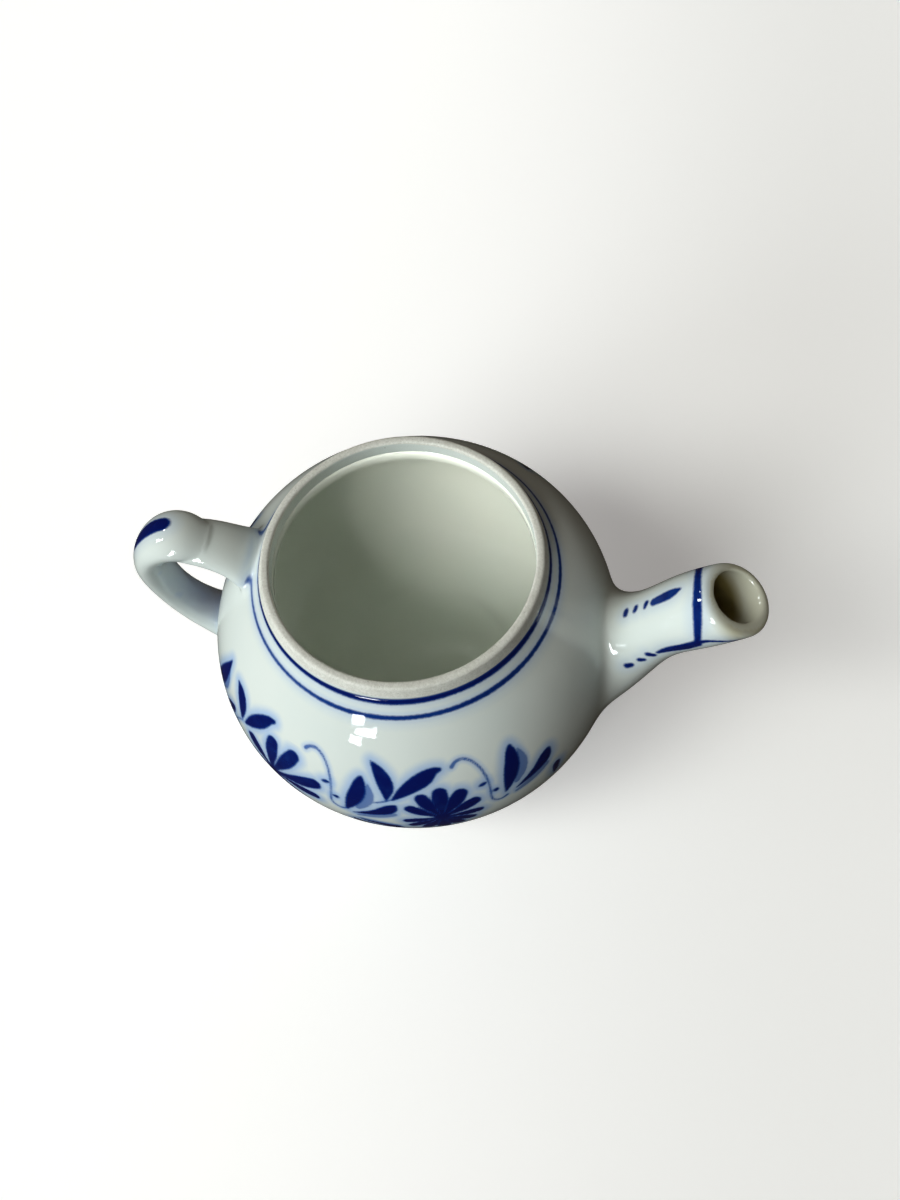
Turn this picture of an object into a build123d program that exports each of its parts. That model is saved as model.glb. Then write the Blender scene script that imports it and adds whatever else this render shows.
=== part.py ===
from build123d import *
import math
import os

# Porcelain teapot: a round pot on a low foot ring, with a hollow spout and a
# loop handle luted on opposite sides. All sizes are in millimetres.
# Origin: centre of the resting plane. +Z up, spout towards +X, handle towards -X.

# --- pot, turned about Z ---------------------------------------------------
belly_radius = 66.3
belly_half_height = 57.0
belly_centre_z = 41.8
belly_low_angle = -30.0
belly_high_angle = 39.4
wall = 4.0
inner_low_angle = -25.0

foot_height = 4.0
foot_outer_radius = 42.5
foot_inner_radius = 37.0
foot_taper = 0.8
foot_edge_round = 0.9
underside_z = 5.0
underside_step = 1.0
floor_z = 10.0
floor_radius = 34.0

# --- neck and mouth ----------------------------------------------------------
rim_z = 93.0
collar_z = 88.0
collar_root_radius = 43.5
rim_radius = 42.0
mouth_radius = 39.5
rim_round = 0.8

# --- spout ---------------------------------------------------------------------
# centre line in the XZ plane, from inside the belly to the pouring lip
spout_points = [(48.0, 38.0), (66.0, 51.0), (82.1, 71.0), (98.3, 86.2)]
# along the line: how far each section faces upwards, its outside and its bore
spout_stations = [0.0, 0.31, 0.5, 0.75, 1.0]
spout_tilts = [5.0, 30.0, 48.0, 50.0, 62.0]
spout_outer_radii = [15.5, 13.0, 11.0, 11.6, 11.5]
spout_bore_radii = [12.5, 10.2, 7.9, 8.3, 8.0]
spout_lip_round = 2.2
spout_bore_round = 1.2

# clay slip that smooths the spout into the belly
spout_root_stations = [0.1, 0.24, 0.36, 0.46, 0.54]
spout_root_radii = [26.0, 20.0, 14.8, 12.2, 11.4]

# strainer pierced through the belly wall behind the spout
strainer_z = 49.0
strainer_hole_radius = 2.2
strainer_pitch_radius = 6.6
strainer_outer_holes = 6
strainer_depth = 14.0

# --- handle ----------------------------------------------------------------------
# centre line of the loop: from inside the belly, round the outside, to the thumb rest
loop_points = [
    (-54.0, 26.0),
    (-76.6, 44.2),
    (-82.9, 64.0),
    (-80.0, 82.5),
    (-71.0, 91.0),
    (-60.5, 90.4),
]
loop_stations = [0.0, 0.2, 0.4, 0.6, 0.75, 0.88, 0.95, 1.0]
loop_half_widths = [7.2, 7.0, 6.8, 7.4, 8.4, 8.6, 7.6, 4.4]
loop_half_thicks = [4.4, 4.3, 4.3, 4.7, 5.2, 5.0, 4.3, 2.4]

# short arm that carries the top of the loop on the shoulder of the pot
arm_points = [(-45.0, 76.0), (-54.0, 85.4), (-63.0, 88.8), (-73.0, 89.0)]
arm_stations = [0.0, 0.35, 0.7, 1.0]
arm_half_widths = [8.6, 8.2, 8.0, 7.0]
arm_half_thicks = [4.4, 4.2, 4.0, 3.2]

# clay slip at the two ends of the handle, as growth over the handle section
upper_root_stations = [0.0, 0.2, 0.36, 0.5]
upper_root_growth = [7.0, 3.6, 1.5, 0.5]
lower_root_stations = [0.0, 0.12, 0.2, 0.28]
lower_root_growth = [4.2, 2.5, 1.1, 0.4]


def at_station(values, stations, place):
    """Read a list of values, given at stations, at any place along the line."""
    for index in range(len(stations) - 1):
        first = stations[index]
        last = stations[index + 1]
        if place <= last:
            share = (place - first) / (last - first)
            return values[index] + share * (values[index + 1] - values[index])
    return values[-1]


def xz(point):
    """A point of the XZ plane as a 3-D point."""
    return Vector(point[0], 0, point[1])


def section_plane(line, place):
    """Plane square to a centre line, with its first axis across the pot."""
    return Plane(origin=line.position_at(place), x_dir=(0, 1, 0), z_dir=line.tangent_at(place))


def spout_plane(place):
    """Section plane of the spout, facing upwards by the tilt at that place."""
    tilt = math.radians(at_station(spout_tilts, spout_stations, place))
    normal = (math.cos(tilt), 0, math.sin(tilt))
    return Plane(origin=spout_line.position_at(place), x_dir=(0, 1, 0), z_dir=normal)


def pot_outline():
    """Outside of the pot from the foot to the neck, drawn in the current line."""
    belly = EllipticalCenterArc(
        (0, belly_centre_z),
        belly_radius,
        belly_half_height,
        start_angle=belly_low_angle,
        arc_size=belly_high_angle - belly_low_angle,
    )
    Spline((foot_outer_radius, foot_height), belly @ 0, tangents=[(1, 0.25), belly % 0])
    Spline(belly @ 1, (collar_root_radius, collar_z), tangents=[belly % 1, (-0.5, 1)])


def sweep_circles(stations, radii, mode=Mode.ADD):
    """Sweep circles on the section planes of the spout along its centre line."""
    sections = []
    for place, radius in zip(stations, radii):
        with BuildSketch(spout_plane(place)) as section:
            Circle(radius)
        sections.append(section.sketch)
    path = spout_line.trim(stations[0], stations[-1])
    sweep(sections=sections, path=path, multisection=True, mode=mode)


def sweep_ellipses(line, stations, half_widths, half_thicks):
    """Sweep ellipses, wide across the pot, along a centre line."""
    sections = []
    for place, half_width, half_thick in zip(stations, half_widths, half_thicks):
        with BuildSketch(section_plane(line, place)) as section:
            Ellipse(half_width, half_thick)
        sections.append(section.sketch)
    path = line.trim(stations[0], stations[-1])
    sweep(sections=sections, path=path, multisection=True)


def grown(values, stations, root_stations, growth):
    """Handle section sizes at the root stations, plus the slip around them."""
    return [
        at_station(values, stations, place) + extra
        for place, extra in zip(root_stations, growth)
    ]


spout_line = Spline(*[xz(point) for point in spout_points])
loop_line = Spline(*[xz(point) for point in loop_points])
arm_line = Spline(*[xz(point) for point in arm_points])

# --- helper forms, not exported --------------------------------------------------

with BuildPart() as pot_form:
    with BuildSketch(Plane.XZ):
        with BuildLine():
            pot_outline()
            Polyline(
                (collar_root_radius, collar_z),
                (rim_radius, rim_z),
                (0, rim_z),
                (0, foot_height),
                (foot_outer_radius, foot_height),
            )
        make_face()
    revolve(axis=Axis.Z)

with BuildPart() as spout_form:
    sweep_circles(spout_stations, spout_outer_radii)

with BuildPart() as handle_form:
    sweep_ellipses(loop_line, loop_stations, loop_half_widths, loop_half_thicks)
    sweep_ellipses(arm_line, arm_stations, arm_half_widths, arm_half_thicks)

# --- the pot -----------------------------------------------------------------------

with BuildPart() as pot_body:
    with BuildSketch(Plane.XZ):
        with BuildLine():
            pot_outline()
            Line((collar_root_radius, collar_z), (mouth_radius, collar_z))
            inner_high_angle = math.degrees(math.acos(mouth_radius / (belly_radius - wall)))
            hollow = EllipticalCenterArc(
                (0, belly_centre_z),
                belly_radius - wall,
                belly_half_height - wall,
                start_angle=inner_low_angle,
                arc_size=inner_high_angle - inner_low_angle,
            )
            Line((mouth_radius, collar_z), hollow @ 1)
            Spline((floor_radius, floor_z), hollow @ 0, tangents=[(1, 0), hollow % 0])
            Polyline(
                (floor_radius, floor_z),
                (0, floor_z),
                (0, underside_z),
                (foot_inner_radius - underside_step, underside_z),
                (foot_inner_radius, foot_height),
                (foot_outer_radius, foot_height),
            )
        make_face()
    revolve(axis=Axis.Z)
    strainer_plane = Plane(
        origin=(belly_radius + strainer_depth / 2, 0, strainer_z),
        x_dir=(0, 1, 0),
        z_dir=(1, 0, 0),
    )
    with BuildSketch(strainer_plane):
        Circle(strainer_hole_radius)
        with PolarLocations(strainer_pitch_radius, strainer_outer_holes):
            Circle(strainer_hole_radius)
    extrude(amount=-2 * strainer_depth, mode=Mode.SUBTRACT)

with BuildPart() as neck_collar:
    with BuildSketch(Plane.XZ):
        with BuildLine():
            Polyline(
                (mouth_radius, collar_z),
                (collar_root_radius, collar_z),
                (rim_radius, rim_z),
                (mouth_radius, rim_z),
                close=True,
            )
        make_face()
        rim_corners = vertices().group_by(Axis.Y)[-1]
        fillet(rim_corners, rim_round)
    revolve(axis=Axis.Z)

with BuildPart() as foot_ring:
    with BuildSketch(Plane.XZ):
        with BuildLine():
            Polyline(
                (foot_inner_radius, foot_height),
                (foot_inner_radius + foot_taper, 0),
                (foot_outer_radius - foot_taper, 0),
                (foot_outer_radius, foot_height),
                close=True,
            )
        make_face()
        resting_corners = vertices().group_by(Axis.Y)[0]
        fillet(resting_corners, foot_edge_round)
    revolve(axis=Axis.Z)

# --- the spout -----------------------------------------------------------------------

with BuildPart() as spout:
    add(spout_form.part)
    sweep_circles(spout_stations, spout_bore_radii, Mode.SUBTRACT)
    add(pot_form.part, mode=Mode.SUBTRACT)
    mouth_face = faces().filter_by(GeomType.PLANE).sort_by(Axis.Z)[-1]
    fillet(mouth_face.edges().sort_by(SortBy.LENGTH)[-1], spout_lip_round)
    mouth_face = faces().filter_by(GeomType.PLANE).sort_by(Axis.Z)[-1]
    fillet(mouth_face.edges().sort_by(SortBy.LENGTH)[0], spout_bore_round)

with BuildPart() as spout_root:
    sweep_circles(spout_root_stations, spout_root_radii)
    add(spout_form.part, mode=Mode.SUBTRACT)
    add(pot_form.part, mode=Mode.SUBTRACT)

# --- the handle ------------------------------------------------------------------------

with BuildPart() as handle:
    add(handle_form.part)
    add(pot_form.part, mode=Mode.SUBTRACT)

with BuildPart() as handle_upper_root:
    upper_half_widths = grown(arm_half_widths, arm_stations, upper_root_stations, upper_root_growth)
    upper_half_thicks = grown(arm_half_thicks, arm_stations, upper_root_stations, upper_root_growth)
    sweep_ellipses(arm_line, upper_root_stations, upper_half_widths, upper_half_thicks)
    add(handle_form.part, mode=Mode.SUBTRACT)
    add(pot_form.part, mode=Mode.SUBTRACT)

with BuildPart() as handle_lower_root:
    lower_half_widths = grown(loop_half_widths, loop_stations, lower_root_stations, lower_root_growth)
    lower_half_thicks = grown(loop_half_thicks, loop_stations, lower_root_stations, lower_root_growth)
    sweep_ellipses(loop_line, lower_root_stations, lower_half_widths, lower_half_thicks)
    add(handle_form.part, mode=Mode.SUBTRACT)
    add(pot_form.part, mode=Mode.SUBTRACT)

pot_body.part.label = "pot_body"
neck_collar.part.label = "neck_collar"
foot_ring.part.label = "foot_ring"
spout.part.label = "spout"
spout_root.part.label = "spout_root"
handle.part.label = "handle"
handle_upper_root.part.label = "handle_upper_root"
handle_lower_root.part.label = "handle_lower_root"

pieces = [
    pot_body,
    neck_collar,
    foot_ring,
    spout,
    spout_root,
    handle,
    handle_upper_root,
    handle_lower_root,
]

os.makedirs("parts", exist_ok=True)
for piece in pieces:
    export_step(piece.part, f"parts/{piece.part.label}.step")
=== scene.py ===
import math

import bpy
import numpy as np
from mathutils import Matrix, Vector


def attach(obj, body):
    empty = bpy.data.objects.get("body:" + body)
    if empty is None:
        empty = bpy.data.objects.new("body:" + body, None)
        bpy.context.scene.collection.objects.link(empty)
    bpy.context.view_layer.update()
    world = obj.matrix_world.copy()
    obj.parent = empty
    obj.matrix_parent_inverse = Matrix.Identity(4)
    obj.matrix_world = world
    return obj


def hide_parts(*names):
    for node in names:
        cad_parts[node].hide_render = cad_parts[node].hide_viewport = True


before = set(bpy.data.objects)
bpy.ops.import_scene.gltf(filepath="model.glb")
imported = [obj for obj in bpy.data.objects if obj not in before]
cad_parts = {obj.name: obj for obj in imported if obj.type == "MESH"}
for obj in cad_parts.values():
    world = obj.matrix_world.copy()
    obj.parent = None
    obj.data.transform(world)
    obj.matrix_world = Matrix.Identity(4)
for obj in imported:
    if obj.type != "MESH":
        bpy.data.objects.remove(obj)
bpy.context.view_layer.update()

# Glazed porcelain teapot without its lid, with cobalt painting under the glaze.
# Shapes are worked out in millimetres in the frame of the CAD model (origin at
# the centre of the resting plane, +Z up, spout towards +X) and scaled to metres
# when the meshes are made.

MM = 0.001
FAR = 60.0
rng = np.random.default_rng(1885)

# --- pot, as in the CAD model -------------------------------------------------
BELLY_RADIUS = 66.3
BELLY_HALF_HEIGHT = 57.0
BELLY_CENTRE_Z = 41.8
BELLY_LOW_ANGLE = -30.0
BELLY_HIGH_ANGLE = 39.4
WALL = 4.0
INNER_LOW_ANGLE = -25.0
FOOT_HEIGHT = 4.0
FOOT_OUTER_RADIUS = 42.5
FOOT_INNER_RADIUS = 37.0
FOOT_TAPER = 0.8
FOOT_EDGE_ROUND = 0.9
UNDERSIDE_Z = 5.0
UNDERSIDE_STEP = 1.0
FLOOR_Z = 10.0
FLOOR_RADIUS = 34.0
FLOOR_DIP_RADIUS = 30.5
FLOOR_DIP = 0.9
RIM_Z = 93.0
COLLAR_Z = 88.0
COLLAR_ROOT_RADIUS = 43.5
RIM_RADIUS = 42.0
MOUTH_RADIUS = 39.5
RIM_ROUND = 0.8

# --- spout ----------------------------------------------------------------------
SPOUT_POINTS = [(48.0, 38.0), (66.0, 51.0), (82.1, 71.0), (98.3, 86.2)]
# outside radius along the line, with the flare of slip at the root
SPOUT_STATIONS = [0.0, 0.1, 0.24, 0.36, 0.46, 0.56, 0.75, 0.9, 1.0]
SPOUT_RADII = [33.0, 25.6, 19.4, 14.9, 12.4, 11.2, 11.6, 11.8, 11.5]
# and the same below the line, where the slip hugs the belly
SPOUT_LOW_RADII = [21.0, 19.6, 17.2, 14.5, 12.4, 11.2, 11.6, 11.8, 11.5]
BORE_STATIONS = [0.0, 0.31, 0.5, 0.75, 1.0]
BORE_RADII = [12.5, 10.2, 7.9, 8.3, 8.0]
SPOUT_LIP_TILT = 62.0
SPOUT_LIP_SQUASH = 0.94
SPOUT_LIP_ROUND = 3.4
SPOUT_BORE_ROUND = 1.8
SPOUT_BORE_DRIFT = 0.9
SPOUT_BLEND = 5.0
SPOUT_SPLIT = 0.53

# --- handle -----------------------------------------------------------------------
LOOP_POINTS = [
    (-54.0, 26.0),
    (-76.6, 44.2),
    (-82.9, 64.0),
    (-80.0, 82.5),
    (-71.0, 91.0),
    (-60.5, 90.4),
]
LOOP_STATIONS = [0.0, 0.12, 0.2, 0.28, 0.4, 0.6, 0.75, 0.88, 0.95, 1.0]
LOOP_WIDTHS = [11.4, 9.6, 8.1, 7.3, 6.8, 7.4, 8.4, 8.6, 7.6, 5.4]
LOOP_THICKS = [8.6, 6.8, 5.4, 4.7, 4.3, 4.7, 5.2, 5.0, 4.3, 2.8]
LOOP_END_ROUND = 2.2
ARM_POINTS = [(-45.0, 76.0), (-54.0, 85.4), (-63.0, 88.8), (-73.0, 89.0)]
ARM_STATIONS = [0.0, 0.2, 0.36, 0.5, 0.7, 1.0]
ARM_WIDTHS = [12.5, 10.4, 9.0, 8.4, 7.9, 7.0]
ARM_THICKS = [3.6, 4.4, 4.7, 4.4, 4.0, 3.2]
ARM_END_ROUND = 2.0
HANDLE_BLEND = 3.0
CREASE_BLEND = 1.2
HANDLE_ROOT_DEPTH = 6.0
HANDLE_SPLIT_Z = 60.0
SLIP_EDGE = 1.5

# --- mesh fineness ------------------------------------------------------------------
BAND_COLUMNS = 720
PLAIN_COLUMNS = 240
SKIN_CELL = 0.7
SKIN_THICKNESS = 1.2

# --- painted band on the belly --------------------------------------------------------
# Places on the belly are given in mm along the girth and mm up the wall from this height.
BAND_ZERO_Z = 45.0
GIRTH_RADIUS = 66.0


# ======================================================================================
# Lines, distances and blends
# ======================================================================================


def spline_bends(knots, values):
    """Second derivatives of the natural cubic spline through values at knots."""
    steps = np.diff(knots)
    count = len(knots)
    left = np.eye(count)
    right = np.zeros(values.shape)
    slopes = np.diff(values, axis=0) / steps.reshape(-1, *[1] * (values.ndim - 1))
    for row in range(1, count - 1):
        left[row, row - 1] = steps[row - 1]
        left[row, row] = 2 * (steps[row - 1] + steps[row])
        left[row, row + 1] = steps[row]
        right[row] = 6 * (slopes[row] - slopes[row - 1])
    return np.linalg.solve(left, right)


def spline_value(knots, values, at):
    """The natural cubic spline through values at knots, straight beyond both ends."""
    knots = np.asarray(knots, float)
    values = np.asarray(values, float)
    bends = spline_bends(knots, values)
    at = np.asarray(at, float)
    inside = np.clip(at, knots[0], knots[-1])
    cell = np.clip(np.searchsorted(knots, inside) - 1, 0, len(knots) - 2)
    step = knots[cell + 1] - knots[cell]
    b = (inside - knots[cell]) / step
    a = 1 - b
    beyond = at - inside
    if values.ndim == 2:
        a, b, step, beyond = (part[..., None] for part in (a, b, step, beyond))
    curve = (a**3 - a) * bends[cell] + (b**3 - b) * bends[cell + 1]
    value = a * values[cell] + b * values[cell + 1] + curve * step**2 / 6
    rise = (values[cell + 1] - values[cell]) / step
    rise = rise + step / 6 * ((3 * b**2 - 1) * bends[cell + 1] - (3 * a**2 - 1) * bends[cell])
    return value + beyond * rise, rise


class Line:
    """A smooth centre line through points of the XZ plane."""

    def __init__(self, points):
        self.points = np.array(points, float)
        steps = np.hypot(*np.diff(self.points, axis=0).T)
        self.knots = np.concatenate([[0.0], np.cumsum(steps)])
        self.length = self.knots[-1]

    def nearest(self, x, z, overrun=0.0):
        """Place along the line nearest to (x, z), with the offsets along and across it."""
        x, z = np.broadcast_arrays(x, z)
        samples = np.linspace(-overrun, self.length + overrun, 60)
        spots, _ = spline_value(self.knots, self.points, samples)
        best = np.full(x.shape, np.inf)
        place = np.zeros(x.shape)
        for sample, spot in zip(samples, spots):
            gap = (x - spot[0]) ** 2 + (z - spot[1]) ** 2
            closer = gap < best
            best[closer] = gap[closer]
            place[closer] = sample
        for _ in range(4):
            spot, rise = spline_value(self.knots, self.points, place)
            ahead = (x - spot[..., 0]) * rise[..., 0] + (z - spot[..., 1]) * rise[..., 1]
            place = place + ahead / (rise**2).sum(-1)
            place = np.clip(place, -overrun, self.length + overrun)
        spot, rise = spline_value(self.knots, self.points, place)
        rise = rise / np.sqrt((rise**2).sum(-1, keepdims=True))
        along = (x - spot[..., 0]) * rise[..., 0] + (z - spot[..., 1]) * rise[..., 1]
        across = (z - spot[..., 1]) * rise[..., 0] - (x - spot[..., 0]) * rise[..., 1]
        return place, along, across


def soft_min(a, b, reach):
    """The smaller of two distances, blended smoothly where they differ by less than reach."""
    overlap = np.clip(1 - np.abs(a - b) / reach, 0, None)
    return np.minimum(a, b) - overlap**3 * reach / 6


def soft_max(a, b, reach):
    return -soft_min(-a, -b, reach)


def ellipse_distance(across, side, half_thick, half_width, along=0.0, end_round=1.0):
    """Distance from the surface of a bar with an elliptical section and rounded end."""
    first = np.sqrt((across / half_thick) ** 2 + (side / half_width) ** 2 + (along / end_round) ** 2)
    second = np.sqrt(
        (across / half_thick**2) ** 2 + (side / half_width**2) ** 2 + (along / end_round**2) ** 2
    )
    return first * (first - 1) / np.maximum(second, 1e-6)


# ======================================================================================
# Outline of the pot
# ======================================================================================


def hermite(start, end, start_slope, end_slope, count):
    """Points of a cubic curve between two points with given end directions."""
    t = np.linspace(0, 1, count)[:, None]
    start, end = np.array(start, float), np.array(end, float)
    chord = np.hypot(*(end - start))
    start_pull = np.array(start_slope, float) / np.hypot(*start_slope) * chord
    end_pull = np.array(end_slope, float) / np.hypot(*end_slope) * chord
    return (
        (2 * t**3 - 3 * t**2 + 1) * start
        + (t**3 - 2 * t**2 + t) * start_pull
        + (3 * t**2 - 2 * t**3) * end
        + (t**3 - t**2) * end_pull
    )


def ellipse_arc(radius, half_height, low_angle, high_angle, count):
    """Points of the belly's ellipse in (radius, height), and its end directions."""
    turn = np.radians(np.linspace(low_angle, high_angle, count))
    points = np.stack([radius * np.cos(turn), BELLY_CENTRE_Z + half_height * np.sin(turn)], -1)
    slopes = np.stack([-radius * np.sin(turn), half_height * np.cos(turn)], -1)
    return points, slopes[0], slopes[-1]


def joined(*runs):
    """Several runs of points end to end, without doubled joints."""
    return np.concatenate([runs[0]] + [run[1:] for run in runs[1:]])


def outer_outline():
    """Outside of the pot from the foot to the collar."""
    belly, low_slope, high_slope = ellipse_arc(
        BELLY_RADIUS, BELLY_HALF_HEIGHT, BELLY_LOW_ANGLE, BELLY_HIGH_ANGLE, 400
    )
    foot = hermite((FOOT_OUTER_RADIUS, FOOT_HEIGHT), belly[0], (1, 0.25), low_slope, 160)
    neck = hermite(belly[-1], (COLLAR_ROOT_RADIUS, COLLAR_Z), high_slope, (-0.5, 1), 120)
    return joined(foot, belly, neck)


def inner_outline():
    """Inside of the pot from the collar down to the middle of the floor."""
    high_angle = math.degrees(math.acos(MOUTH_RADIUS / (BELLY_RADIUS - WALL)))
    hollow, low_slope, _ = ellipse_arc(
        BELLY_RADIUS - WALL, BELLY_HALF_HEIGHT - WALL, INNER_LOW_ANGLE, high_angle, 240
    )
    floor = hermite((FLOOR_RADIUS, FLOOR_Z), hollow[0], (1, 0), low_slope, 80)
    dip = FLOOR_Z - FLOOR_DIP
    bottom = np.array([(2.0, dip), (FLOOR_DIP_RADIUS, dip), (FLOOR_DIP_RADIUS + 1.5, FLOOR_Z), (FLOOR_RADIUS, FLOOR_Z)])
    top = np.array([hollow[-1], (MOUTH_RADIUS, COLLAR_Z)])
    return joined(bottom, floor, hollow, top)[::-1]


OUTER = outer_outline()
OUTER_LENGTH = np.concatenate([[0.0], np.cumsum(np.hypot(*np.diff(OUTER, axis=0).T))])
BAND_ZERO = np.interp(BAND_ZERO_Z, OUTER[:, 1], OUTER_LENGTH)


def resampled(points, step):
    """The same outline with points at even steps."""
    length = np.concatenate([[0.0], np.cumsum(np.hypot(*np.diff(points, axis=0).T))])
    count = max(2, int(round(length[-1] / step)) + 1)
    even = np.linspace(0, length[-1], count)
    return np.stack([np.interp(even, length, points[:, k]) for k in (0, 1)], -1)


def outer_piece(low, high, step):
    """Part of the outside outline between two lengths measured up from the band's zero."""
    even = np.linspace(low, high, max(2, int(round((high - low) / step)) + 1)) + BAND_ZERO
    return np.stack([np.interp(even, OUTER_LENGTH, OUTER[:, k]) for k in (0, 1)], -1)


def pot_distance(x, y, z):
    """Distance of a place from the outside of the pot, good near the surface."""
    radius = np.sqrt(x**2 + y**2)
    level = np.clip(z, FOOT_HEIGHT, COLLAR_Z)
    outside = np.interp(level, OUTER[:, 1], OUTER[:, 0])
    slope = (np.interp(level + 0.3, OUTER[:, 1], OUTER[:, 0]) - outside) / 0.3
    return (radius - outside) / np.sqrt(1 + slope**2)


# ======================================================================================
# Meshes
# ======================================================================================


def make_object(name, points, faces, normals=None, values=None):
    """A mesh object from points in mm, with optional smooth normals and painted values."""
    mesh = bpy.data.meshes.new(name)
    mesh.from_pydata((np.asarray(points) * MM).tolist(), [], faces)
    mesh.validate()
    mesh.polygons.foreach_set("use_smooth", np.ones(len(mesh.polygons), bool))
    for key, value in (values or {}).items():
        layer = mesh.attributes.new(name=key, type="FLOAT", domain="POINT")
        layer.data.foreach_set("value", np.asarray(value, np.float32))
    if normals is not None:
        mesh.normals_split_custom_set_from_vertices(np.asarray(normals).tolist())
    piece = bpy.data.objects.new(name, mesh)
    bpy.context.scene.collection.objects.link(piece)
    return piece


def finish_piece(piece, node, material):
    """Put a piece in the place of its CAD node."""
    piece.data.materials.append(material)
    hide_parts(node)
    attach(piece, "root")


def ring_faces(upper, upper_count, lower, lower_count):
    """Faces between two rings whose vertex counts are equal or in the ratio three to one."""
    faces = []
    if upper_count == lower_count:
        for k in range(upper_count):
            following = (k + 1) % upper_count
            faces.append((lower + k, lower + following, upper + following, upper + k))
        return faces
    if upper_count < lower_count:
        for k in range(upper_count):
            a, b = upper + k, upper + (k + 1) % upper_count
            f = [lower + (3 * k + j) % lower_count for j in range(4)]
            faces += [(f[0], f[1], a), (f[1], f[2], b, a), (f[2], f[3], b)]
        return faces
    for k in range(lower_count):
        a, b = lower + k, lower + (k + 1) % lower_count
        f = [upper + (3 * k + j) % upper_count for j in range(4)]
        faces += [(f[1], f[0], a), (f[2], f[1], a, b), (f[3], f[2], b)]
    return faces


def turned(rows, closed):
    """Turn rows of (radius, height, columns) round the axis, from foot to top to floor.

    Returns the points and faces. A run that ends on the axis gets a middle point."""
    points, faces, starts = [], [], []
    for radius, height, columns in rows:
        starts.append(sum(len(ring) for ring in points))
        angle = np.arange(columns) * 2 * math.pi / columns
        ring = np.stack(
            [radius * np.cos(angle), radius * np.sin(angle), np.full(columns, height)], -1
        )
        points.append(ring)
    for k in range(len(rows) - 1):
        faces += ring_faces(starts[k + 1], rows[k + 1][2], starts[k], rows[k][2])
    if closed:
        faces += ring_faces(starts[0], rows[0][2], starts[-1], rows[-1][2])
        return np.concatenate(points), faces
    total = sum(len(ring) for ring in points)
    for row, flip in ((0, False), (len(rows) - 1, True)):
        columns = rows[row][2]
        points.append(np.array([[0.0, 0.0, rows[row][1]]]))
        for k in range(columns):
            a, b = starts[row] + k, starts[row] + (k + 1) % columns
            faces.append((total, a, b) if flip else (total, b, a))
        total += 1
    return np.concatenate(points), faces


def field_slope(field, points):
    """Direction in which a field grows, at each point."""
    probe = 0.25
    slope = np.empty(points.shape)
    for axis in range(3):
        step = np.zeros(3)
        step[axis] = probe
        ahead = field(*(points + step).T)
        behind = field(*(points - step).T)
        slope[:, axis] = (ahead - behind) / (2 * probe)
    return slope


def settle(field, points, rounds=2):
    """Move points onto the surface where a field is zero."""
    for _ in range(rounds):
        slope = field_slope(field, points)
        points = points - slope * (field(*points.T) / (slope**2).sum(1))[:, None]
    return points


def skin(field, low, high):
    """Points, faces and normals of the surface where a field is zero inside a box."""
    axes = [np.arange(a, b, SKIN_CELL) for a, b in zip(low, high)]
    values = field(*np.meshgrid(*axes, indexing="ij", sparse=True))
    inside = values < 0
    counts = sum(
        inside[i : i + inside.shape[0] - 1, j : j + inside.shape[1] - 1, k : k + inside.shape[2] - 1].astype(int)
        for i in (0, 1)
        for j in (0, 1)
        for k in (0, 1)
    )
    mixed = (counts > 0) & (counts < 8)
    index = np.full(mixed.shape, -1)
    index[mixed] = np.arange(mixed.sum())
    cells = np.argwhere(mixed)
    points = np.array(low) + (cells + 0.5) * SKIN_CELL
    faces = []
    for axis in range(3):
        near, far = np.moveaxis(inside, axis, 0)[:-1], np.moveaxis(inside, axis, 0)[1:]
        grid = np.moveaxis(index, axis, 0)
        crossing = np.argwhere((near != far)[:, 1:-1, 1:-1])
        a, b, c = crossing[:, 0], crossing[:, 1], crossing[:, 2]
        quad = np.stack([grid[a, b, c], grid[a, b + 1, c], grid[a, b + 1, c + 1], grid[a, b, c + 1]], -1)
        outward = near[a, b + 1, c + 1]
        if axis == 1:
            outward = ~outward
        quad[~outward] = quad[~outward][:, ::-1]
        faces.append(quad)
    faces = np.concatenate(faces)
    faces = faces[(faces >= 0).all(1)]
    points = settle(field, points)
    for _ in range(3):
        points = settle(field, relaxed(points, faces), 1)
    slope = field_slope(field, points)
    return points, faces, slope / np.sqrt((slope**2).sum(1, keepdims=True))


def relaxed(points, faces):
    """Points moved half way to the middle of their neighbours."""
    total = np.zeros(points.shape)
    count = np.zeros(len(points))
    for a, b in ((0, 1), (1, 2), (2, 3), (3, 0)):
        np.add.at(total, faces[:, a], points[faces[:, b]])
        np.add.at(total, faces[:, b], points[faces[:, a]])
        np.add.at(count, faces[:, a], 1)
        np.add.at(count, faces[:, b], 1)
    middle = total / np.maximum(count, 1)[:, None]
    return np.where(count[:, None] > 0, (points + middle) / 2, points)


def part_of_skin(points, faces, normals, keep):
    """The chosen faces of a skin, closed on the inside to a thin solid wall."""
    chosen = faces[keep]
    used, flat = np.unique(chosen, return_inverse=True)
    chosen = flat.reshape(-1, 4)
    outer, facing = points[used], normals[used]
    inner = outer - facing * SKIN_THICKNESS
    count = len(outer)
    edges = np.concatenate([chosen[:, [k, (k + 1) % 4]] for k in range(4)])
    seen = {(int(a), int(b)) for a, b in edges}
    rim = [(a, b) for a, b in seen if (b, a) not in seen]
    sides = [(b, a, a + count, b + count) for a, b in sorted(rim)]
    quads = chosen.tolist() + (chosen[:, ::-1] + count).tolist() + sides
    return np.concatenate([outer, inner]), quads, np.concatenate([facing, -facing])


# ======================================================================================
# Brush strokes
# ======================================================================================


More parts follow.
